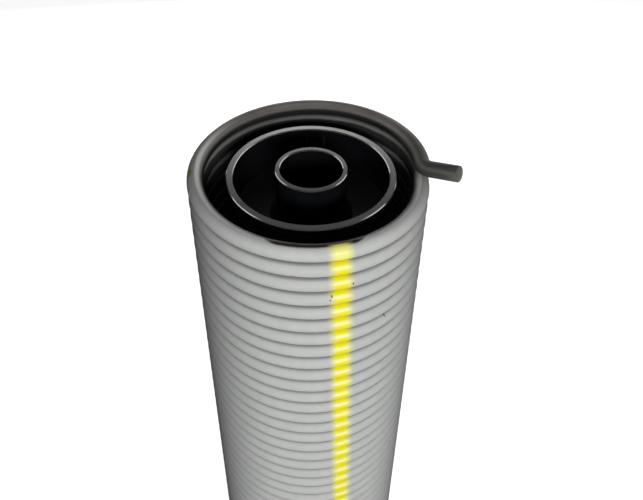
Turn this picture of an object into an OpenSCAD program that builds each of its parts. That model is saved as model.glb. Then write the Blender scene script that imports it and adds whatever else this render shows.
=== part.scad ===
// Torsion spring for a counterbalanced door, standing on the anchor that holds its
// lower end, with the sleeve and the shaft tube that it is wound round.
//
// Frame: +Z runs along the shaft, and the origin is the centre of the shaft bore at
// the anchor's underside. Lengths are in millimetres and angles in degrees. The coil
// is left-hand: seen from above, its top turn falls as it goes anticlockwise.

/* [Spring] */
// Diameter of the spring wire
wire_d = 7.5; // [5:0.1:9]
// Inside diameter of the coil
coil_id = 95.25; // [92:0.25:120]
// Number of full turns
turns = 50; // [10:1:60]
// Clearance between one turn and the next
turn_gap = 0.9; // [0.3:0.1:3]
// How far the coil's axis lies beside the shaft's, along X
coil_shift = -1.3; // [-3:0.1:3]
// Direction round the shaft at which the wire leaves the coil, from +X
leg_start = 1; // [-90:1:90]
// Angle that the wire's lower end is bent through
leg_bend = 74; // [60:1:90]
// Angle that the wire's upper end is bent through
top_bend = 54; // [40:1:90]
// Tilt of the upper end's bend, which lifts the upper leg
top_tilt = 17.5; // [0:0.5:30]
// Radius of both bends, at the middle of the wire
leg_bend_r = 8.5; // [6:0.5:14]
// Straight length of each leg, past its bend
leg_len = 13.5; // [8:0.5:40]

/* [Sleeve tube] */
// Outside diameter of the sleeve
sleeve_od = 78; // [60:0.5:84]
// Wall thickness of the sleeve
sleeve_wall = 3.2; // [2:0.1:6]
// Depth of the sleeve's rim below the middle of the topmost wire
sleeve_drop = 5; // [1:0.5:30]
// Chamfer on the edges of the sleeve's rim
sleeve_chamfer = 0.3; // [0.2:0.1:0.9]

/* [Shaft tube] */
// Outside diameter of the shaft tube
shaft_od = 33.4; // [25:0.1:40]
// Wall thickness of the shaft tube
shaft_wall = 2.3; // [2:0.1:5]
// Depth of the shaft tube's rim below the middle of the topmost wire
shaft_drop = 2.5; // [0:0.5:30]
// Chamfer on the edges of the shaft tube's rim
shaft_chamfer = 0.3; // [0.2:0.1:0.9]

/* [Web] */
// Thickness of the web between the two tubes
web_t = 5; // [3:0.5:12]
// Depth of the web's upper face below the sleeve's rim
web_depth = 23; // [8:1:60]

/* [Anchor] */
// Thickness of the anchor's plate
plate_t = 6; // [4:0.5:12]
// How far the plate stands out past the coil
plate_lip = 2.5; // [1:0.5:10]
// Chamfer on the edges of the plate
plate_chamfer = 0.8; // [0.3:0.1:1.5]
// Height of the two cheeks that hold the lower leg
cheek_h = 6.5; // [4:0.5:12]
// Thickness of each cheek
cheek_t = 6; // [4:0.5:12]

/* [Joining] */
// Width of each weld bead on the faces that it joins
weld_w = 3; // [1.5:0.5:5]
// Clearance between a tube and the hole or bore that it passes through
tube_clearance = 0.1; // [0.05:0.05:0.5]
// Clearance between the spring and the anchor
seat_clearance = 0.2; // [0.1:0.1:1]

/* [Hidden] */
$fn = 96;
wire_fn = 32;

// Every second stretch of the wire runs this far into its neighbours, and is this much
// thicker than they are, so that all the stretches join into one solid
lap = 0.2;
swell = 0.12;
// How far a through hole's cutter runs past each face that it cuts
cut_over = 1;

pitch = wire_d + turn_gap;
mean_r = (coil_id + wire_d) / 2;
coil_r = mean_r + wire_d / 2;
// Each half turn is half a ring, tilted about Y so that it climbs half a pitch
tilt = atan(pitch / 4 / mean_r);
ring_r = mean_r / cos(tilt);
wire_low = plate_t + seat_clearance + wire_d / 2;
wire_high = wire_low + turns * pitch;

sleeve_r = sleeve_od / 2;
sleeve_bore_r = sleeve_r - sleeve_wall;
sleeve_top = wire_high - sleeve_drop;
shaft_r = shaft_od / 2;
shaft_bore_r = shaft_r - shaft_wall;
shaft_top = wire_high - shaft_drop;
web_top = sleeve_top - web_depth;
web_low = web_top - web_t;
plate_r = coil_r + abs(coil_shift) + plate_lip;
hole_r = shaft_r + tube_clearance;

function wire_size(lapping) = lapping ? wire_d + swell : wire_d;

// Round bar along a circle of radius r, from the angle 0 to the angle sweep
module bent_wire(r, sweep, lapping) {
    past = lapping ? lap / r * 180 / PI : 0;
    rotate([0, 0, -past])
        rotate_extrude(angle = sweep + 2 * past)
            translate([r, 0])
                circle(d = wire_size(lapping), $fn = wire_fn);
}

// Straight round bar of the given length along +Y, from the origin
module straight_wire(length, lapping) {
    past = lapping ? lap : 0;
    translate([0, -past, 0])
        rotate([-90, 0, 0])
            cylinder(d = wire_size(lapping), h = length + past, $fn = wire_fn);
}

// One half turn above the wire's lower end: even ones pass in front, odd ones behind
module half_turn(index) {
    front = index % 2 == 0;
    translate([0, 0, (index + 0.5) * pitch / 2])
        rotate([0, front ? tilt : -tilt, 0])
            rotate([0, 0, front ? 180 : 0])
                bent_wire(ring_r, 180, front);
}

// Places its children at the end of the wire's bend, with +Y along the straight leg
module at_leg(bend) {
    translate([mean_r + leg_bend_r, 0, 0])
        rotate([0, 0, 180 + bend])
            translate([leg_bend_r, 0, 0])
                children();
}

// The bend and straight leg at one end of the wire, which comes in along -Y.
// Either the bend laps its neighbours, or the straight leg laps the bend.
module leg(bend, bend_laps) {
    translate([mean_r + leg_bend_r, 0, 0])
        rotate([0, 0, 180])
            bent_wire(leg_bend_r, bend, bend_laps);
    at_leg(bend)
        straight_wire(leg_len, !bend_laps);
}

// Tilts its children about the wire's own line where it leaves the coil, so that +X rises
module tilt_up() {
    translate([mean_r, 0, 0])
        rotate([0, -top_tilt, 0])
            translate([-mean_r, 0, 0])
                children();
}

// Places its children on the coil's axis, with +X running to where the wire leaves it
module on_coil(z) {
    translate([coil_shift, 0, z])
        rotate([0, 0, leg_start])
            children();
}

// The same at the lower end of the wire, which comes in along +Y there
module at_low_end(z) {
    on_coil(z)
        mirror([0, 1, 0])
            children();
}

module torsion_spring() {
    color([0.66, 0.67, 0.66]) {
        on_coil(wire_low)
            for (index = [0 : 2 * turns - 1])
                half_turn(index);
        on_coil(wire_high)
            tilt_up()
                leg(top_bend, true);
        at_low_end(wire_low)
            leg(leg_bend, false);
    }
}

// Upright tube with both edges of its upper rim chamfered
module tube(bore_r, outer_r, low, high, chamfer) {
    rotate_extrude()
        polygon([
            [bore_r, low],
            [outer_r, low],
            [outer_r, high - chamfer],
            [outer_r - chamfer, high],
            [bore_r + chamfer, high],
            [bore_r, high - chamfer]
        ]);
}

module sleeve_tube() {
    color([0.10, 0.10, 0.11])
        tube(sleeve_bore_r, sleeve_r, plate_t, sleeve_top, sleeve_chamfer);
}

module shaft_tube() {
    color([0.12, 0.12, 0.13])
        tube(shaft_bore_r, shaft_r, 0, shaft_top, shaft_chamfer);
}

// Cutter for the shaft tube's hole through a plate of the given thickness
module shaft_hole(thickness) {
    translate([0, 0, -cut_over])
        cylinder(r = hole_r, h = thickness + 2 * cut_over);
}

module web() {
    color([0.09, 0.09, 0.10])
        translate([0, 0, web_low])
            difference() {
                cylinder(r = sleeve_bore_r - tube_clearance, h = web_t);
                shaft_hole(web_t);
            }
}

// Bar along the lower leg, given its width and how far it runs along the leg and up
module along_leg(width, along, up) {
    at_low_end(up[0])
        at_leg(leg_bend)
            translate([-width / 2, along[0], 0])
                cube([width, along[1] - along[0], up[1] - up[0]]);
}

// Round plate with an arm that carries the lower leg, and a cheek on each side of it
module anchor() {
    slot_w = wire_d + 2 * seat_clearance;
    arm_w = slot_w + 2 * cheek_t;
    color([0.13, 0.13, 0.14])
        difference() {
            union() {
                rotate_extrude()
                    polygon([
                        [0, 0],
                        [plate_r - plate_chamfer, 0],
                        [plate_r, plate_chamfer],
                        [plate_r, plate_t - plate_chamfer],
                        [plate_r - plate_chamfer, plate_t],
                        [0, plate_t]
                    ]);
                along_leg(arm_w, [shaft_r - mean_r, leg_len], [0, plate_t]);
                along_leg(arm_w, [0, leg_len], [0, plate_t + cheek_h]);
            }
            along_leg(slot_w, [-leg_bend_r, leg_len + leg_bend_r], [plate_t, plate_t + cheek_h + wire_d]);
            shaft_hole(plate_t);
        }
}

// Ring of weld in the corner between a wall of radius r and a floor at z.
// side is 1 where the weld lies outside the wall, and -1 where it lies inside.
module bead(r, z, side) {
    rotate_extrude()
        polygon([
            [r, z],
            [r + side * weld_w, z],
            [r, z + weld_w]
        ]);
}

module weld_beads() {
    color([0.16, 0.16, 0.17]) {
        bead(sleeve_r, plate_t, 1);
        bead(shaft_r, web_top, 1);
        bead(sleeve_bore_r, web_top, -1);
    }
}

torsion_spring();
sleeve_tube();
shaft_tube();
web();
anchor();
weld_beads();
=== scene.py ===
import math

import bpy
import numpy as np
from mathutils import Matrix, Vector


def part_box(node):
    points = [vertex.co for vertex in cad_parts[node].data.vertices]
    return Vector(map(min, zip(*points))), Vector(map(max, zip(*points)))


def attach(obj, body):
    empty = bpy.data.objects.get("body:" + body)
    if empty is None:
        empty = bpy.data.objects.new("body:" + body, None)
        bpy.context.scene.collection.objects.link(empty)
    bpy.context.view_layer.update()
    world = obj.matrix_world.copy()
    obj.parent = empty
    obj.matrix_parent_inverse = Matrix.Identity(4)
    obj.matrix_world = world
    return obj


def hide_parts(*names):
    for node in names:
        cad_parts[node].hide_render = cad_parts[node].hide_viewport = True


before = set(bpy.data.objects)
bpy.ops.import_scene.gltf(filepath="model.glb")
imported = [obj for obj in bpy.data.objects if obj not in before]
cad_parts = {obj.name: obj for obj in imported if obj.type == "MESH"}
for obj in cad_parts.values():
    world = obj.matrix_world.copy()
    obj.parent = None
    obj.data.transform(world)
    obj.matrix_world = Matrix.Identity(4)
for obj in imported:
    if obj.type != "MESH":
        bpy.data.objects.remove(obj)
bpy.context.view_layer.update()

# A torsion spring for a counterbalanced door, dressed round its CAD frame.
# Lengths are in metres and angles in degrees, unless a name says otherwise.
# The front is the side that faces along -Y.
MM = 0.001

# ---- Sizes shared with the solids -------------------------------------------------
WIRE_D = 0.0075
TURNS = 50
TURN_GAP = 0.0009
COIL_ID = 0.09525
COIL_SHIFT = -0.0013
LEG_START = 1.0
LEG_BEND = 74.0
TOP_BEND = 54.0
TOP_TILT = 17.5
LEG_BEND_R = 0.0085
LEG_LEN = 0.0135
SLEEVE_DROP = 0.005

SLEEVE_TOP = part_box("sleeve_tube")[1][2]
SHAFT_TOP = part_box("shaft_tube")[1][2]
PLATE_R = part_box("anchor")[1][1]
WIRE_R = WIRE_D / 2
PITCH = WIRE_D + TURN_GAP
MEAN_R = (COIL_ID + WIRE_D) / 2
COIL_R = MEAN_R + WIRE_R
WIRE_HIGH = SLEEVE_TOP + SLEEVE_DROP
WIRE_LOW = WIRE_HIGH - TURNS * PITCH
# Lengths along the wire: one turn, each leg with its bend, and the whole wire
TURN_LENGTH = math.hypot(2 * math.pi * MEAN_R, PITCH)
LOW_LEG_LENGTH = math.radians(LEG_BEND) * LEG_BEND_R + LEG_LEN
TOP_LEG_LENGTH = math.radians(TOP_BEND) * LEG_BEND_R + LEG_LEN
WIRE_LENGTH = TURNS * TURN_LENGTH + LOW_LEG_LENGTH + TOP_LEG_LENGTH

# ---- Colours -----------------------------------------------------------------------
# The film on the wire: as it is on the front, a painted highlight along an end turn's inner edge,
# painted shade where it turns away to the sides and the back, and in the streaks that the wire was
# drawn with
FILM_GREY = (0.500, 0.510, 0.500)
FILM_HIGHLIGHT = (0.850, 0.850, 0.820)
FILM_SIDE_SHADE = (0.250, 0.255, 0.250)
FILM_STREAK = (0.300, 0.300, 0.290)
# painted shade in the grooves between turns
GROOVE_SHADE = (0.120, 0.120, 0.115)
# Bare steel: the coil's inner side, whose dark is partly painted shade; an end turn's upper side,
# lightened by painted light from above; the legs and their cut faces; and the stains and streaks on
# all of them
BARE_DARK_AND_SHADE = (0.022, 0.021, 0.0205)
BARE_TOP_LIT = (0.290, 0.268, 0.255)
END_STEEL = (0.105, 0.107, 0.096)
CUT_FACE = (0.026, 0.027, 0.024)
BARE_STAIN = (0.045, 0.043, 0.040)
BARE_STREAK = (0.050, 0.048, 0.045)
STRIPE_YELLOW = (0.82, 0.75, 0.022)
# the stripe's painted highlight
STRIPE_HIGHLIGHT = (0.92, 0.91, 0.50)
OCHRE = (0.30, 0.23, 0.03)
NEAR_BLACK = (0.03, 0.028, 0.026)
LACQUER = (0.0035, 0.0038, 0.0045)
# painted reflection streaks in the sleeve's bore
REFLECTION_GREY = (0.05, 0.05, 0.052)
LACQUER_DUST = (0.10, 0.095, 0.09)
BRIGHT_STEEL = (0.62, 0.61, 0.60)
BRIGHT_STAIN = (0.25, 0.24, 0.23)
ANCHOR_GREY = (0.055, 0.057, 0.06)
ANCHOR_WORN = (0.35, 0.34, 0.33)


def add_object(name, data):
    added = bpy.data.objects.new(name, data)
    bpy.context.collection.objects.link(added)
    return added


# ---- Camera ------------------------------------------------------------------------
SENSOR_W = 36.0
LENS = 37.8644
# How far the picture's middle lies from the lens's axis, as shares of its width
SHIFT = (0.020482, -0.148989)
CAMERA_DISTANCE = 0.3032
CAMERA_PITCH = 35.765
CAMERA_ROLL = -0.086
# How far above the middle of the topmost wire the camera aims
TARGET_RISE = 0.00529
CLIP_START = 0.01


def make_camera():
    pitch = math.radians(CAMERA_PITCH)
    roll = math.radians(CAMERA_ROLL)
    forward = Vector((0, math.cos(pitch), -math.sin(pitch)))
    level_up = Vector((0, math.sin(pitch), math.cos(pitch)))
    level_right = Vector((1, 0, 0))
    right = math.cos(roll) * level_right + math.sin(roll) * level_up
    up = math.cos(roll) * level_up - math.sin(roll) * level_right
    target = Vector((COIL_SHIFT, 0, WIRE_HIGH + TARGET_RISE))
    data = bpy.data.cameras.new("camera")
    data.sensor_fit = "HORIZONTAL"
    data.sensor_width = SENSOR_W
    data.lens = LENS
    data.shift_x, data.shift_y = SHIFT
    data.clip_start = CLIP_START
    camera = add_object("camera", data)
    turn = Matrix((right, up, -forward)).transposed().to_4x4()
    camera.matrix_world = Matrix.Translation(target - CAMERA_DISTANCE * forward) @ turn
    bpy.context.scene.camera = camera


# ---- Node graphs -------------------------------------------------------------------
class Nodes:
    """Builds nodes in a tree. Each method returns a socket, and takes sockets or plain values."""

    def __init__(self, tree):
        self.tree = tree
        self.tree.nodes.clear()

    def put(self, value, socket):
        if isinstance(value, bpy.types.NodeSocket):
            self.tree.links.new(value, socket)
        elif socket.type == "RGBA":
            socket.default_value = (*value, 1.0)
        else:
            socket.default_value = value

    def math(self, operation, *values, clamp=False):
        node = self.tree.nodes.new("ShaderNodeMath")
        node.operation = operation
        node.use_clamp = clamp
        for value, socket in zip(values, node.inputs):
            self.put(value, socket)
        return node.outputs[0]

    def times(self, value, *factors):
        for factor in factors:
            value = self.math("MULTIPLY", value, factor)
        return value

    def minus(self, value, other):
        return self.math("SUBTRACT", value, other)

    def plus(self, value, other):
        return self.math("ADD", value, other)

    def apart(self, value, other):
        return self.math("ABSOLUTE", self.minus(value, other))

    def swing(self, noise, width):
        """A noise round 0.5 becomes one round 0, as wide as is given."""
        return self.times(self.minus(noise, 0.5), width)

    def ramp(self, value, low, high):
        """Rises smoothly from 0 at low to 1 at high, or falls that way if low is above high."""
        node = self.tree.nodes.new("ShaderNodeMapRange")
        node.interpolation_type = "SMOOTHSTEP"
        falls = low > high
        node.inputs["From Min"].default_value = min(low, high)
        node.inputs["From Max"].default_value = max(low, high)
        node.inputs["To Min"].default_value = float(falls)
        node.inputs["To Max"].default_value = float(not falls)
        self.put(value, node.inputs["Value"])
        return node.outputs[0]

    def inside(self, value, low, high, soft):
        """1 between low and high. Each edge is as wide as soft on both of its sides."""
        above = self.ramp(value, low - soft, low + soft)
        below = self.ramp(value, high + soft, high - soft)
        return self.times(above, below)

    def mix(self, factor, a, b):
        node = self.tree.nodes.new("ShaderNodeMix")
        node.data_type = "RGBA"
        self.put(factor, node.inputs["Factor"])
        self.put(a, node.inputs[6])
        self.put(b, node.inputs[7])
        return node.outputs[2]

    def mix_number(self, factor, a, b):
        node = self.tree.nodes.new("ShaderNodeMix")
        node.data_type = "FLOAT"
        self.put(factor, node.inputs["Factor"])
        self.put(a, node.inputs[2])
        self.put(b, node.inputs[3])
        return node.outputs[0]

    def shades(self, noise, colour, low, high):
        """The colour times low where the noise is 0, up to times high where it is 1."""
        darker, lighter = (tuple(factor * part for part in colour) for factor in (low, high))
        return self.mix(noise, darker, lighter)

    def mix_shader(self, factor, a, b):
        node = self.tree.nodes.new("ShaderNodeMixShader")
        for value, socket in zip((factor, a, b), node.inputs):
            self.put(value, socket)
        return node.outputs[0]

    def noise(self, vector, scale, detail, roughness=0.5):
        node = self.tree.nodes.new("ShaderNodeTexNoise")
        node.inputs["Scale"].default_value = scale
        node.inputs["Detail"].default_value = detail
        node.inputs["Roughness"].default_value = roughness
        self.put(vector, node.inputs["Vector"])
        return node.outputs[0]

    def stretch(self, vector, scale):
        node = self.tree.nodes.new("ShaderNodeVectorMath")
        node.operation = "MULTIPLY"
        self.put(vector, node.inputs[0])
        node.inputs[1].default_value = scale
        return node.outputs[0]

    def coordinates(self, kind):
        return self.tree.nodes.new("ShaderNodeTexCoord").outputs[kind]

    def split(self, vector):
        node = self.tree.nodes.new("ShaderNodeSeparateXYZ")
        self.put(vector, node.inputs[0])
        return node.outputs

    def length(self, x, y):
        return self.math("SQRT", self.plus(self.times(x, x), self.times(y, y)))

    def rays(self, *kinds):
        """1 for rays of any of these kinds, by the names that Light Path gives them."""
        path = self.tree.nodes.new("ShaderNodeLightPath")
        seen = path.outputs[kinds[0]]
        for kind in kinds[1:]:
            seen = self.math("ADD", seen, path.outputs[kind], clamp=True)
        return seen

    def bump(self, height, distance, strength, under=None):
        node = self.tree.nodes.new("ShaderNodeBump")
        node.inputs["Strength"].default_value = strength
        node.inputs["Distance"].default_value = distance
        self.put(height, node.inputs["Height"])
        if under is not None:
            self.put(under, node.inputs["Normal"])
        return node.outputs[0]


class Material(Nodes):
    """One material's nodes, round its shader."""

    def __init__(self, name):
        self.material = bpy.data.materials.new(name)
        self.material.use_nodes = True
        super().__init__(self.material.node_tree)
        self.output = self.tree.nodes.new("ShaderNodeOutputMaterial")
        self.shader = self.tree.nodes.new("ShaderNodeBsdfPrincipled")
        self.show(self.shader.outputs[0])
        self.place = self.coordinates("Object")

    def show(self, surface):
        self.put(surface, self.output.inputs["Surface"])

    def finish(self, **inputs):
        """Sets the shader's inputs, which are named with _ for each space."""
        for name, value in inputs.items():
            self.put(value, self.shader.inputs[name.replace("_", " ")])
        return self.material


# ---- Spring's mesh -----------------------------------------------------------------
# Steps of the mesh along each turn, along the bend of each leg, and round the wire
TURN_STEPS = 90
BEND_STEPS = 12
SIDES = 20
# The coil starts and ends level, and eases into its climb over this angle
EASE = 20.0
# The cut ends have a small broken edge
EDGE = 0.0004


def coil_line():
    """Centre line of the coil from its lower end to its upper one, round the Z axis."""
    total = 2 * math.pi * TURNS
    ease = math.radians(EASE)
    slope = (WIRE_HIGH - WIRE_LOW) / (total - ease)
    points = []
    count = TURN_STEPS * TURNS
    for step in range(count + 1):
        angle = total * step / count
        first = min(angle, ease)
        last = max(angle - (total - ease), 0)
        climb = first * first / 2 / ease + angle - first - last * last / 2 / ease
        # the wire climbs clockwise, as seen from above
        at = math.radians(LEG_START) - angle
        points.append((MEAN_R * math.cos(at), MEAN_R * math.sin(at), WIRE_LOW + slope * climb))
    return points


def leg_line(z, side, whole_bend, tilt):
    """Centre line of a leg, from the coil outwards. side is 1 for the upper leg, else -1."""
    flat = []
    for step in range(1, BEND_STEPS + 1):
        bend = math.radians(whole_bend * step / BEND_STEPS)
        flat.append((LEG_BEND_R * (1 - math.cos(bend)), LEG_BEND_R * math.sin(bend)))
    start = flat[-1]
    straight = math.radians(whole_bend)
    # the points near the end carry its broken edge
    for run in (LEG_LEN / 2, LEG_LEN - EDGE, LEG_LEN - EDGE / 3, LEG_LEN):
        flat.append((start[0] + math.sin(straight) * run, start[1] + math.cos(straight) * run))
    turn = math.radians(LEG_START)
    lift = math.radians(tilt)
    points = []
    for away, onward in flat:
        x = MEAN_R + away * math.cos(lift)
        y = -side * onward
        points.append((x * math.cos(turn) - y * math.sin(turn),
                       x * math.sin(turn) + y * math.cos(turn),
                       z + away * math.sin(lift)))
    return points


def unit(vectors):
    return vectors / np.linalg.norm(vectors, axis=1)[:, None]


def wire_line():
    """The wire's centre line from its lower end to its upper end: points and unit directions."""
    low_leg = leg_line(WIRE_LOW, -1, LEG_BEND, 0)
    top_leg = leg_line(WIRE_HIGH, 1, TOP_BEND, TOP_TILT)
    points = np.array(low_leg[::-1] + coil_line() + top_leg) + (COIL_SHIFT, 0, 0)
    steps = unit(points[1:] - points[:-1])
    ahead = np.vstack([steps, steps[-1:]])
    behind = np.vstack([steps[:1], steps])
    return points, unit(ahead + behind)


def wire_vertices(points, along):
    """A ring of vertices round each point, and then the middles of the two cut ends."""
    across = unit(np.cross((0.0, 0.0, 1.0), along))
    rise = np.cross(along, across)
    radius = np.full(len(points), WIRE_R)
    radius[[0, -1]] = WIRE_R - EDGE
    radius[[1, -2]] = WIRE_R - EDGE / 4
    # the first side faces the coil's axis
    around = np.radians(180 + 360 * np.arange(SIDES) / SIDES)
    spokes = (np.cos(around)[None, :, None] * across[:, None, :]
              + np.sin(around)[None, :, None] * rise[:, None, :])
    rings = points[:, None, :] + radius[:, None, None] * spokes
    return np.vstack([rings.reshape(-1, 3), points[:1], points[-1:]])


def wire_faces(ring_count):
    faces = []
    for ring in range(ring_count - 1):
        base = ring * SIDES
        above = base + SIDES
        for side in range(SIDES):
            after = (side + 1) % SIDES
            faces.append((base + side, base + after, above + after, above + side))
    last = (ring_count - 1) * SIDES
    low_centre = ring_count * SIDES
    high_centre = low_centre + 1
    for side in range(SIDES):
        after = (side + 1) % SIDES
        faces.append((low_centre, after, side))
        faces.append((high_centre, last + side, last + after))
    return faces


def map_wire(mesh, points):
    """Lays a map on the mesh that runs along the wire and round it, in metres."""
    steps = np.linalg.norm(np.diff(points, axis=0), axis=1)
    lengths = np.concatenate([[0], np.cumsum(steps)])
    girth = 2 * math.pi * WIRE_R
    low_centre = len(points) * SIDES
    layer = mesh.uv_layers.new(name="wire")
    for polygon in mesh.polygons:
        corners = [mesh.loops[i].vertex_index for i in polygon.loop_indices]
        sides = {corner % SIDES for corner in corners if corner < low_centre}
        wraps = sides >= {0, SIDES - 1}
        for loop, corner in zip(polygon.loop_indices, corners):
            if corner >= low_centre:
                end = 0.0 if corner == low_centre else lengths[-1]
                layer.data[loop].uv = (end, girth / 2)
                continue
            side = corner % SIDES
            if wraps and side == 0:
                side = SIDES
            layer.data[loop].uv = (lengths[corner // SIDES], girth * side / SIDES)


def make_wire():
    points, along = wire_line()
    mesh = bpy.data.meshes.new("spring_wire")
    mesh.from_pydata(wire_vertices(points, along).tolist(), [], wire_faces(len(points)))
    mesh.validate()
    map_wire(mesh, points)
    mesh.polygons.foreach_set("use_smooth", [True] * len(mesh.polygons))
    mesh.update()
    return add_object("spring_wire", mesh)


# ---- Spring's finish ---------------------------------------------------------------
# Places round the wire are given outward, from 0 on the coil's inner side to 1 on its
# outer side, or as climb, from -1 at the wire's foot to 1 on its top.

# The end turns are the first and the last. What marks them fades over this length of
# wire, on either side of where they end.
END_TURN_SOFT = 0.005

# The film begins and is whole at these places outward, give or take half the blotches
FILM_EDGE = (0.12, 0.28)
BLOTCHES = 0.12
# The wire is bare up to the first of these distances from each end, and has its whole
# film from the second on
BARE_TO = 0.135
FILM_FROM = 0.190
# Its steel has the ends' own grey up to this distance, and is out of it at twice that
END_TO = 0.030
# Painted shade: the film is lightest at this angle, towards the light, and darkens towards the
# sides and the back between these angles from there
LIGHT_FROM_ANGLE = 10.0
SIDE_SHADE_ANGLES = (25.0, 95.0)
# On the end turns this painted shade is weaker by this share
END_TURN_SIDE_SHADE_CUT = 0.4
# Painted shade in the grooves between turns begins and is whole at these climbs
GROOVE = (0.74, 1.0)
GROOVE_DEPTH = 0.65
# The painted highlight along an end turn's inner edge lies between these places outward
EDGE_HIGHLIGHT_BAND = (0.22, 0.50)
EDGE_HIGHLIGHT_SOFT = 0.10
# On the end turns between these angles, the film's edge is moved back by this much outward, and a
# near-black band fills in between these places
END_DARK_ANGLES = (-20.0, 27.0)
END_DARK_SOFT = 6.0
END_DARK_DEPTH = 0.42
END_DARK_FILL = (0.20, 0.45)
# Painted light from above: the end turns' bare steel is lighter between these climbs
TOP_LIGHT_CLIMBS = (0.05, 1.0)
# Where the broad noise stains the bare steel, and by how much
STAINS = (0.4, 0.7)
STAIN_DEPTH = 0.25
# The drawn streaks' scale along the wire and round it, and how far they show in the
# film and in the bare steel
STREAK_SCALE = (30.0, 2600.0, 1.0)
FILM_STREAKS = 0.12
BARE_STREAKS = 0.25

# The stripe: the angle where it crosses the top turn, how far it leans in each turn,
# half its width, how far its edges fade, and how ragged they are
STRIPE_AT = 13.9
STRIPE_LEAN = 0.24
STRIPE_HALF = 4.2
STRIPE_SOFT = 2.6
STRIPE_RAGGED = 2.0
# It begins and is whole at these places outward
STRIPE_EDGE = (0.40, 0.55)
# It has a painted highlight in a band between these climbs, and on the end turns by this much
STRIPE_HIGHLIGHT_BAND = (0.32, 0.64)
STRIPE_HIGHLIGHT_SOFT = 0.16
STRIPE_END_HIGHLIGHT = 0.45
STRIPE_HIGHLIGHT_STRENGTH = 0.9
# The stripe and the chips lie on the front alone, which begins over this depth
FRONT_SOFT = 0.005

# Chips and smudges: (degrees from the front, turns below the top, half length in mm,
# half height in mm)
CHIPS = (
    (19.6, 2.72, 0.40, 0.75),
    (10.2, 3.45, 0.45, 0.50),
    (9.4, 3.62, 0.50, 0.40),
    (39.5, 6.45, 0.45, 0.90),
    (41.6, 6.32, 0.60, 0.35),
    (-6.5, 1.93, 1.50, 0.22),
    (-15.0, 5.02, 0.90, 0.25),
    (-8.0, 6.05, 1.00, 0.20),
    (-28.0, 3.10, 0.60, 0.25),
)
# A chip is whole within the second of these shares of its size, and ends at the first
CHIP_EDGE = (1.2, 0.6)
CHIP_RAGGED = 1.2
CHIP_DEPTH = 0.75

# A spot of ochre on the top turn, at this angle: half its width, and the share of that
# where it is whole
SPOT_AT = -84.0
SPOT_HALF = 3.6
SPOT_CORE = 0.4
# It fades between these turns below the top, and between these places outward
SPOT_DOWN = (0.35, 0.15)
SPOT_OUTWARD = (0.5, 0.8)
SPOT_DEPTH = 0.8

FILM_ROUGHNESS = 0.55
BARE_ROUGHNESS = 0.32
STRIPE_ROUGHNESS = 0.40
# How metallic the bare steel is, on the coil's inner side and on the end turns
BARE_METALLIC = 0.1
END_METALLIC = 0.5


class WireMaterial(Material):
    """The wire's nodes, with the measures and noises that its finishes share."""

    def __init__(self, name):
        super().__init__(name)
        x, y, z = self.split(self.place)
        wire_map = self.tree.nodes.new("ShaderNodeUVMap")
        wire_map.uv_map = "wire"
        along, round_wire = self.split(wire_map.outputs[0])[:2]
        self.broad = self.noise(self.place, scale=55.0, detail=3.0)
        self.cloud = self.noise(self.place, scale=190.0, detail=4.0, roughness=0.6)
        self.fine = self.noise(self.place, scale=900.0, detail=2.0)
        # long streaks, which lie along the wire
        streaks = self.stretch(wire_map.outputs[0], STREAK_SCALE)
        self.drawn = self.noise(streaks, scale=1.0, detail=3.0, roughness=0.6)
        # degrees from the front, and turns below the top
        around = self.math("ARCTAN2", self.minus(x, COIL_SHIFT), self.times(y, -1.0))
        self.angle = self.times(around, 180 / math.pi)
        self.turns_down = self.math("DIVIDE", self.minus(WIRE_HIGH, z), PITCH)
        self.front = self.ramp(y, 0.0, -FRONT_SOFT)
        turned = self.math("DIVIDE", round_wire, WIRE_R)
        outward = self.minus(0.5, self.times(0.5, self.math("COSINE", turned)))
        self.outward = self.plus(outward, self.swing(self.broad, BLOTCHES))
        self.climb = self.times(self.math("SINE", turned), -1.0)
        self.from_end = self.math("MINIMUM", along, self.minus(WIRE_LENGTH, along))
        end_turn = TOP_LEG_LENGTH + TURN_LENGTH
        self.end_turn = self.ramp(self.from_end, end_turn + END_TURN_SOFT, end_turn - END_TURN_SOFT)
        self.end_dark = self.times(self.inside(self.angle, *END_DARK_ANGLES, END_DARK_SOFT), self.end_turn)


def film_tone(g):
    """The grey film on the wire, with painted shade on its sides, back and grooves, and a painted
    highlight along the end turns' inner edge.
    """
    tone = g.shades(g.cloud, FILM_GREY, low=0.91, high=1.09)
    tone = g.mix(g.times(g.drawn, FILM_STREAKS), tone, FILM_STREAK)
    # painted shade: the sides and the back are darker, away from the light near the front
    side_shade = g.ramp(g.apart(g.angle, LIGHT_FROM_ANGLE), *SIDE_SHADE_ANGLES)
    spared = g.minus(1.0, g.times(g.end_turn, END_TURN_SIDE_SHADE_CUT))
    tone = g.mix(g.times(side_shade, spared), tone, FILM_SIDE_SHADE)
    # the end turns get no painted groove shade
    groove_depth = g.minus(GROOVE_DEPTH, g.times(g.end_turn, GROOVE_DEPTH))
    groove = g.times(g.ramp(g.climb, *GROOVE), groove_depth)
    tone = g.mix(groove, tone, GROOVE_SHADE)
    # painted highlight along the end turns' inner edge
    edge_highlight = g.times(g.inside(g.outward, *EDGE_HIGHLIGHT_BAND, EDGE_HIGHLIGHT_SOFT), g.end_turn)
    return g.mix(edge_highlight, tone, FILM_HIGHLIGHT)


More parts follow.
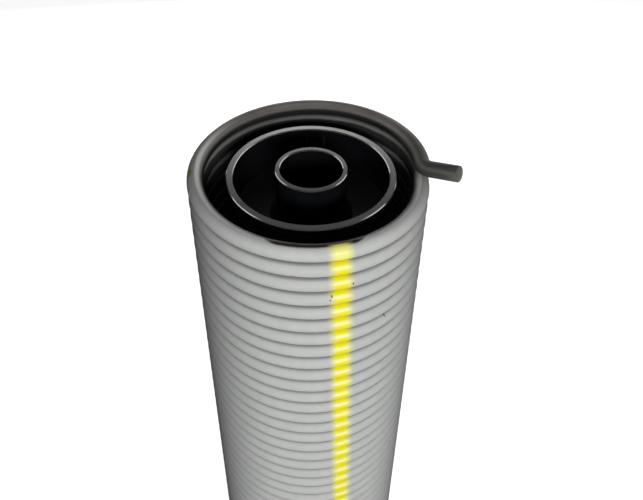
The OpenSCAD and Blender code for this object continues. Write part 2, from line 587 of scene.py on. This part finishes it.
def bare_tone(g):
    """The steel that the film leaves bare: the coil's inner side and the wire's two ends. It
    carries painted shade on the inner side and painted light on the end turns' tops.
    """
    top_lit = g.times(g.ramp(g.climb, *TOP_LIGHT_CLIMBS), g.end_turn)
    tone = g.mix(top_lit, BARE_DARK_AND_SHADE, BARE_TOP_LIT)
    tone = g.mix(g.ramp(g.from_end, 2 * END_TO, END_TO), tone, END_STEEL)
    tone = g.mix(g.ramp(g.from_end, EDGE, EDGE / 3), tone, CUT_FACE)
    tone = g.mix(g.times(g.ramp(g.broad, *STAINS), STAIN_DEPTH), tone, BARE_STAIN)
    tone = g.mix(g.times(g.drawn, BARE_STREAKS), tone, BARE_STREAK)
    return g.mix(g.times(g.end_dark, g.ramp(g.outward, *END_DARK_FILL)), tone, NEAR_BLACK)


def stripe_cover(g):
    """Where the stripe lies, which was sprayed down the front over every turn."""
    middle = g.plus(STRIPE_AT, g.times(g.turns_down, STRIPE_LEAN))
    ragged = g.swing(g.noise(g.place, scale=420.0, detail=3.0), STRIPE_RAGGED)
    offset = g.plus(g.apart(g.angle, middle), ragged)
    within = g.ramp(offset, STRIPE_HALF + STRIPE_SOFT, STRIPE_HALF - STRIPE_SOFT)
    return g.times(within, g.front, g.ramp(g.outward, *STRIPE_EDGE))


def stripe_tone(g):
    # painted highlight across the middle of each turn
    highlight_band = g.inside(g.climb, *STRIPE_HIGHLIGHT_BAND, STRIPE_HIGHLIGHT_SOFT)
    highlight_share = g.math("MAXIMUM", highlight_band, g.times(g.end_turn, STRIPE_END_HIGHLIGHT))
    return g.mix(g.times(highlight_share, STRIPE_HIGHLIGHT_STRENGTH), STRIPE_YELLOW, STRIPE_HIGHLIGHT)


def chip_cover(g, degrees, down, half_length, half_height):
    half_angle = math.degrees(half_length * MM / COIL_R)
    sideways = g.math("DIVIDE", g.minus(g.angle, degrees), half_angle)
    drop = g.math("DIVIDE", g.minus(g.turns_down, down), half_height * MM / PITCH)
    spread = g.plus(g.length(sideways, drop), g.swing(g.fine, CHIP_RAGGED))
    return g.times(g.ramp(spread, *CHIP_EDGE), g.front, CHIP_DEPTH)


def spot_cover(g):
    beside = g.ramp(g.apart(g.angle, SPOT_AT), SPOT_HALF, SPOT_CORE * SPOT_HALF)
    above = g.ramp(g.turns_down, *SPOT_DOWN)
    return g.times(beside, above, g.ramp(g.outward, *SPOT_OUTWARD), SPOT_DEPTH)


def wire_material():
    """Drawn steel under a grey film, with the stripe over it, and chips and a spot over both."""
    g = WireMaterial("spring_wire")
    edge = g.minus(g.outward, g.times(g.end_dark, END_DARK_DEPTH))
    film = g.times(g.ramp(edge, *FILM_EDGE), g.ramp(g.from_end, BARE_TO, FILM_FROM))
    stripe = stripe_cover(g)
    colour = g.mix(film, bare_tone(g), film_tone(g))
    colour = g.mix(stripe, colour, stripe_tone(g))
    for chip in CHIPS:
        colour = g.mix(chip_cover(g, *chip), colour, NEAR_BLACK)
    colour = g.mix(spot_cover(g), colour, OCHRE)
    roughness = g.mix_number(film, BARE_ROUGHNESS, FILM_ROUGHNESS)
    roughness = g.mix_number(stripe, roughness, STRIPE_ROUGHNESS)
    bare_metallic = g.mix_number(g.end_turn, BARE_METALLIC, END_METALLIC)
    metallic = g.times(g.mix_number(film, bare_metallic, 0.0), g.minus(1.0, stripe))
    relief = g.bump(g.drawn, distance=0.00004, strength=0.35)
    relief = g.bump(g.broad, distance=0.0006, strength=0.10, under=relief)
    return g.finish(Base_Color=colour, Roughness=roughness, Metallic=metallic, Normal=relief,
                    Specular_IOR_Level=0.0)


# ---- Tubes, web, anchor and welds --------------------------------------------------
# A tube's rim is bright down to between these depths, give or take half the waver
RIM_EDGE = (0.00065, 0.00045)
RIM_WAVER = 0.0004
RIM_ROUGHNESS = 0.13
RIM_ANISOTROPY = 0.3
# Stains on the rim: where the patches bring them out, and how strong they are
RIM_STAINS = (0.55, 0.75)
RIM_STAIN_DEPTH = 0.3
# Dust on the web: where its noise brings it out, and how strong it is
DUST = (0.62, 0.75)
DUST_DEPTH = 0.12
# From the glossiest patches to the dullest
TUBE_ROUGHNESS = (0.16, 0.30)
WEB_ROUGHNESS = (0.22, 0.42)
ANCHOR_ROUGHNESS = (0.38, 0.55)
WELD_ROUGHNESS = 0.6
WELD_SPECULAR = 0.15
# Painted reflections: light streaks on the sleeve's black bore at the back, where its gloss would
# show reflections: their places along X, half their width, their depths below the rim, and how far
# they fade
SLEEVE_REFLECTIONS = (-0.0020, 0.0065)
REFLECTION_HALF = 0.0007
REFLECTION_TOP = 0.0050
REFLECTION_FOOT = 0.0115
REFLECTION_SOFT = 0.0025
REFLECTION_BACK = 0.010
# The anchor's paint comes to be worn between these distances from its plate's edge. The
# steel shows as the grain goes from the first of these values to the second.
WORN_FROM = 0.0012
WORN_TO = 0.0004
WORN_GRAIN = (0.45, 0.65)
WORN_METALLIC = 0.8
# How many ripples each weld bead has, all the way round
RIPPLES = 110.0


def reflection_cover(g, streak_x, top):
    x, y, z = g.split(g.place)
    beside = g.inside(x, streak_x - REFLECTION_HALF, streak_x + REFLECTION_HALF, REFLECTION_HALF)
    below = g.inside(z, top - REFLECTION_FOOT, top - REFLECTION_TOP, REFLECTION_SOFT)
    return g.times(beside, below, g.ramp(y, 0.0, REFLECTION_BACK))


def tube_material(name, top, reflection_streaks=()):
    """Black lacquer, with the rim turned bright, and painted reflection streaks on it at the given
    places along X.
    """
    g = Material(name)
    x, y, z = g.split(g.place)
    patches = g.noise(g.place, scale=120.0, detail=4.0)
    fine = g.noise(g.place, scale=1500.0, detail=3.0)
    height = g.plus(z, g.swing(patches, RIM_WAVER))
    rim = g.ramp(height, top - RIM_EDGE[0], top - RIM_EDGE[1])
    # the lathe left rings on the rim
    rings = g.tree.nodes.new("ShaderNodeCombineXYZ")
    g.put(g.length(x, y), rings.inputs[0])
    lathe = g.noise(rings.outputs[0], scale=9000.0, detail=2.0)
    bright = g.shades(lathe, BRIGHT_STEEL, low=0.75, high=1.0)
    bright = g.mix(g.times(g.ramp(patches, *RIM_STAINS), RIM_STAIN_DEPTH), bright, BRIGHT_STAIN)
    black = g.shades(patches, LACQUER, low=0.7, high=1.6)
    # painted reflections in the glossy bore
    for streak_x in reflection_streaks:
        black = g.mix(reflection_cover(g, streak_x, top), black, REFLECTION_GREY)
    colour = g.mix(rim, black, bright)
    roughness = g.mix_number(rim, g.mix_number(patches, *TUBE_ROUGHNESS), RIM_ROUGHNESS)
    relief = g.bump(g.mix_number(rim, fine, lathe), distance=0.00001, strength=0.2)
    tangent = g.tree.nodes.new("ShaderNodeTangent")
    tangent.direction_type = "RADIAL"
    tangent.axis = "Z"
    return g.finish(Base_Color=colour, Roughness=roughness, Metallic=rim, Normal=relief,
                    Anisotropic=RIM_ANISOTROPY, Tangent=tangent.outputs[0])


def web_material():
    """Black lacquer with a little dust on it."""
    g = Material("web_lacquer")
    patches = g.noise(g.place, scale=90.0, detail=4.0)
    dust = g.noise(g.place, scale=1300.0, detail=3.0)
    black = g.shades(patches, LACQUER, low=1.0, high=2.2)
    black = g.mix(g.times(g.ramp(dust, *DUST), DUST_DEPTH), black, LACQUER_DUST)
    roughness = g.mix_number(patches, *WEB_ROUGHNESS)
    relief = g.bump(dust, distance=0.00004, strength=0.4)
    return g.finish(Base_Color=black, Roughness=roughness, Normal=relief)


def anchor_material():
    """Dark grey paint, worn to the steel along the plate's edge."""
    g = Material("anchor_paint")
    x, y = g.split(g.place)[:2]
    patches = g.noise(g.place, scale=70.0, detail=4.0)
    grain = g.noise(g.place, scale=1600.0, detail=3.0)
    grey = g.shades(patches, ANCHOR_GREY, low=0.8, high=1.3)
    edge = g.ramp(g.length(x, y), PLATE_R - WORN_FROM, PLATE_R - WORN_TO)
    worn = g.times(edge, g.ramp(grain, *WORN_GRAIN))
    grey = g.mix(worn, grey, ANCHOR_WORN)
    roughness = g.mix_number(patches, *ANCHOR_ROUGHNESS)
    relief = g.bump(grain, distance=0.00005, strength=0.5)
    metallic = g.times(worn, WORN_METALLIC)
    return g.finish(Base_Color=grey, Roughness=roughness, Metallic=metallic, Normal=relief)


def weld_material():
    """Lacquer over rippled weld."""
    g = Material("weld_bead")
    x, y = g.split(g.place)[:2]
    ripple = g.math("SINE", g.times(g.math("ARCTAN2", y, x), RIPPLES))
    spatter = g.noise(g.place, scale=900.0, detail=3.0)
    grey = g.shades(spatter, LACQUER, low=1.0, high=3.0)
    relief = g.bump(ripple, distance=0.0001, strength=0.4)
    relief = g.bump(spatter, distance=0.00005, strength=0.4, under=relief)
    return g.finish(Base_Color=grey, Roughness=WELD_ROUGHNESS, Normal=relief,
                    Specular_IOR_Level=WELD_SPECULAR)


def dress(node, material):
    frame_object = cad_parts[node]
    frame_object.data.materials.clear()
    frame_object.data.materials.append(material)


# ---- Floor, world and lamps --------------------------------------------------------
FLOOR_HALF = 6.0
FLOOR_GREY = (0.35, 0.35, 0.35)
FLOOR_DARK = (0.06, 0.06, 0.06)
FLOOR_GLOW = (0.90, 0.90, 0.90)
FLOOR_ROUGHNESS = 0.9
AMBIENT_TINT = (0.95, 0.98, 1.0)
AMBIENT = 0.02
# Gloss sees a white backdrop, which ends between these elevations, and a dark ceiling
# over it
BACKDROP_TOP = (31.5, 36.5)
CEILING = 0.09
# Straight overhead the ceiling is lighter by ZENITH, which comes in from the place
# where the sine of the elevation is ZENITH_FROM
ZENITH_FROM = 0.75
ZENITH = 0.22


def make_floor():
    mesh = bpy.data.meshes.new("floor")
    corners = ((-1, -1), (1, -1), (1, 1), (-1, 1))
    vertices = [(FLOOR_HALF * x, FLOOR_HALF * y, 0) for x, y in corners]
    mesh.from_pydata(vertices, [], [(0, 1, 2, 3)])
    floor = add_object("floor", mesh)
    g = Material("floor_paper")
    # pale where it is seen, and dark to the light that it would throw back at the coil
    seen = g.rays("Is Camera Ray", "Is Glossy Ray", "Is Transmission Ray")
    g.finish(Base_Color=g.mix(seen, FLOOR_DARK, FLOOR_GREY), Roughness=FLOOR_ROUGHNESS)
    glow = g.tree.nodes.new("ShaderNodeEmission")
    g.put(FLOOR_GLOW, glow.inputs["Color"])
    both = g.tree.nodes.new("ShaderNodeAddShader")
    g.put(g.shader.outputs[0], both.inputs[0])
    g.put(glow.outputs[0], both.inputs[1])
    g.show(g.mix_shader(seen, g.shader.outputs[0], both.outputs[0]))
    mesh.materials.append(g.material)


def make_world():
    """White to the camera, faint to the object, and a studio's backdrop and ceiling to gloss."""
    world = bpy.data.worlds.new("studio")
    bpy.context.scene.world = world
    world.use_nodes = True
    g = Nodes(world.node_tree)

    def background(colour, strength=1.0):
        node = g.tree.nodes.new("ShaderNodeBackground")
        g.put(colour, node.inputs["Color"])
        g.put(strength, node.inputs["Strength"])
        return node.outputs[0]

    height = g.split(g.coordinates("Generated"))[2]
    backdrop_top = [math.sin(math.radians(elevation)) for elevation in BACKDROP_TOP]
    backdrop = g.mix_number(g.ramp(height, *backdrop_top), 1.0, CEILING)
    overhead = g.times(g.ramp(height, ZENITH_FROM, 1.0), ZENITH)
    studio = background(g.plus(backdrop, overhead))
    white = background((1.0, 1.0, 1.0))
    faint = background(AMBIENT_TINT, AMBIENT)
    shown = g.mix_shader(g.rays("Is Camera Ray", "Is Transmission Ray"), faint, white)
    shown = g.mix_shader(g.rays("Is Glossy Ray"), shown, studio)
    output = g.tree.nodes.new("ShaderNodeOutputWorld")
    g.put(shown, output.inputs["Surface"])


def add_lamp(name, size, power, at, aim):
    data = bpy.data.lights.new(name, "AREA")
    data.shape = "RECTANGLE"
    data.size, data.size_y = size
    data.energy = power
    lamp = add_object(name, data)
    lamp.location = at
    direction = Vector(aim) - Vector(at)
    lamp.rotation_euler = direction.to_track_quat("-Z", "Y").to_euler()
    # the gloss sees the world's backdrop and ceiling in place of the lamps
    lamp.visible_glossy = False


def make_lamps():
    upper_coil = (0, 0, WIRE_HIGH - 0.04)
    middle = (0, 0, WIRE_HIGH / 2)
    add_lamp("key", size=(0.4, 0.3), power=13.0, at=(0.16, -1.07, WIRE_HIGH + 0.26), aim=upper_coil)
    add_lamp("top", size=(0.6, 0.6), power=1.0, at=(-0.1, 0.25, WIRE_HIGH + 1.1), aim=upper_coil)
    add_lamp("back", size=(0.8, 0.4), power=13.0, at=(-0.15, 1.2, 0.3), aim=middle)


# ---- Build -------------------------------------------------------------------------
make_camera()
make_floor()
make_world()
make_lamps()

wire = make_wire()
wire.data.materials.append(wire_material())
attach(wire, "root")
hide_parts("torsion_spring")

dress("sleeve_tube", tube_material("sleeve_lacquer", SLEEVE_TOP, SLEEVE_REFLECTIONS))
dress("shaft_tube", tube_material("shaft_lacquer", SHAFT_TOP))
dress("web", web_material())
dress("anchor", anchor_material())
dress("weld_beads", weld_material())

bpy.context.scene.view_settings.view_transform = "Standard"
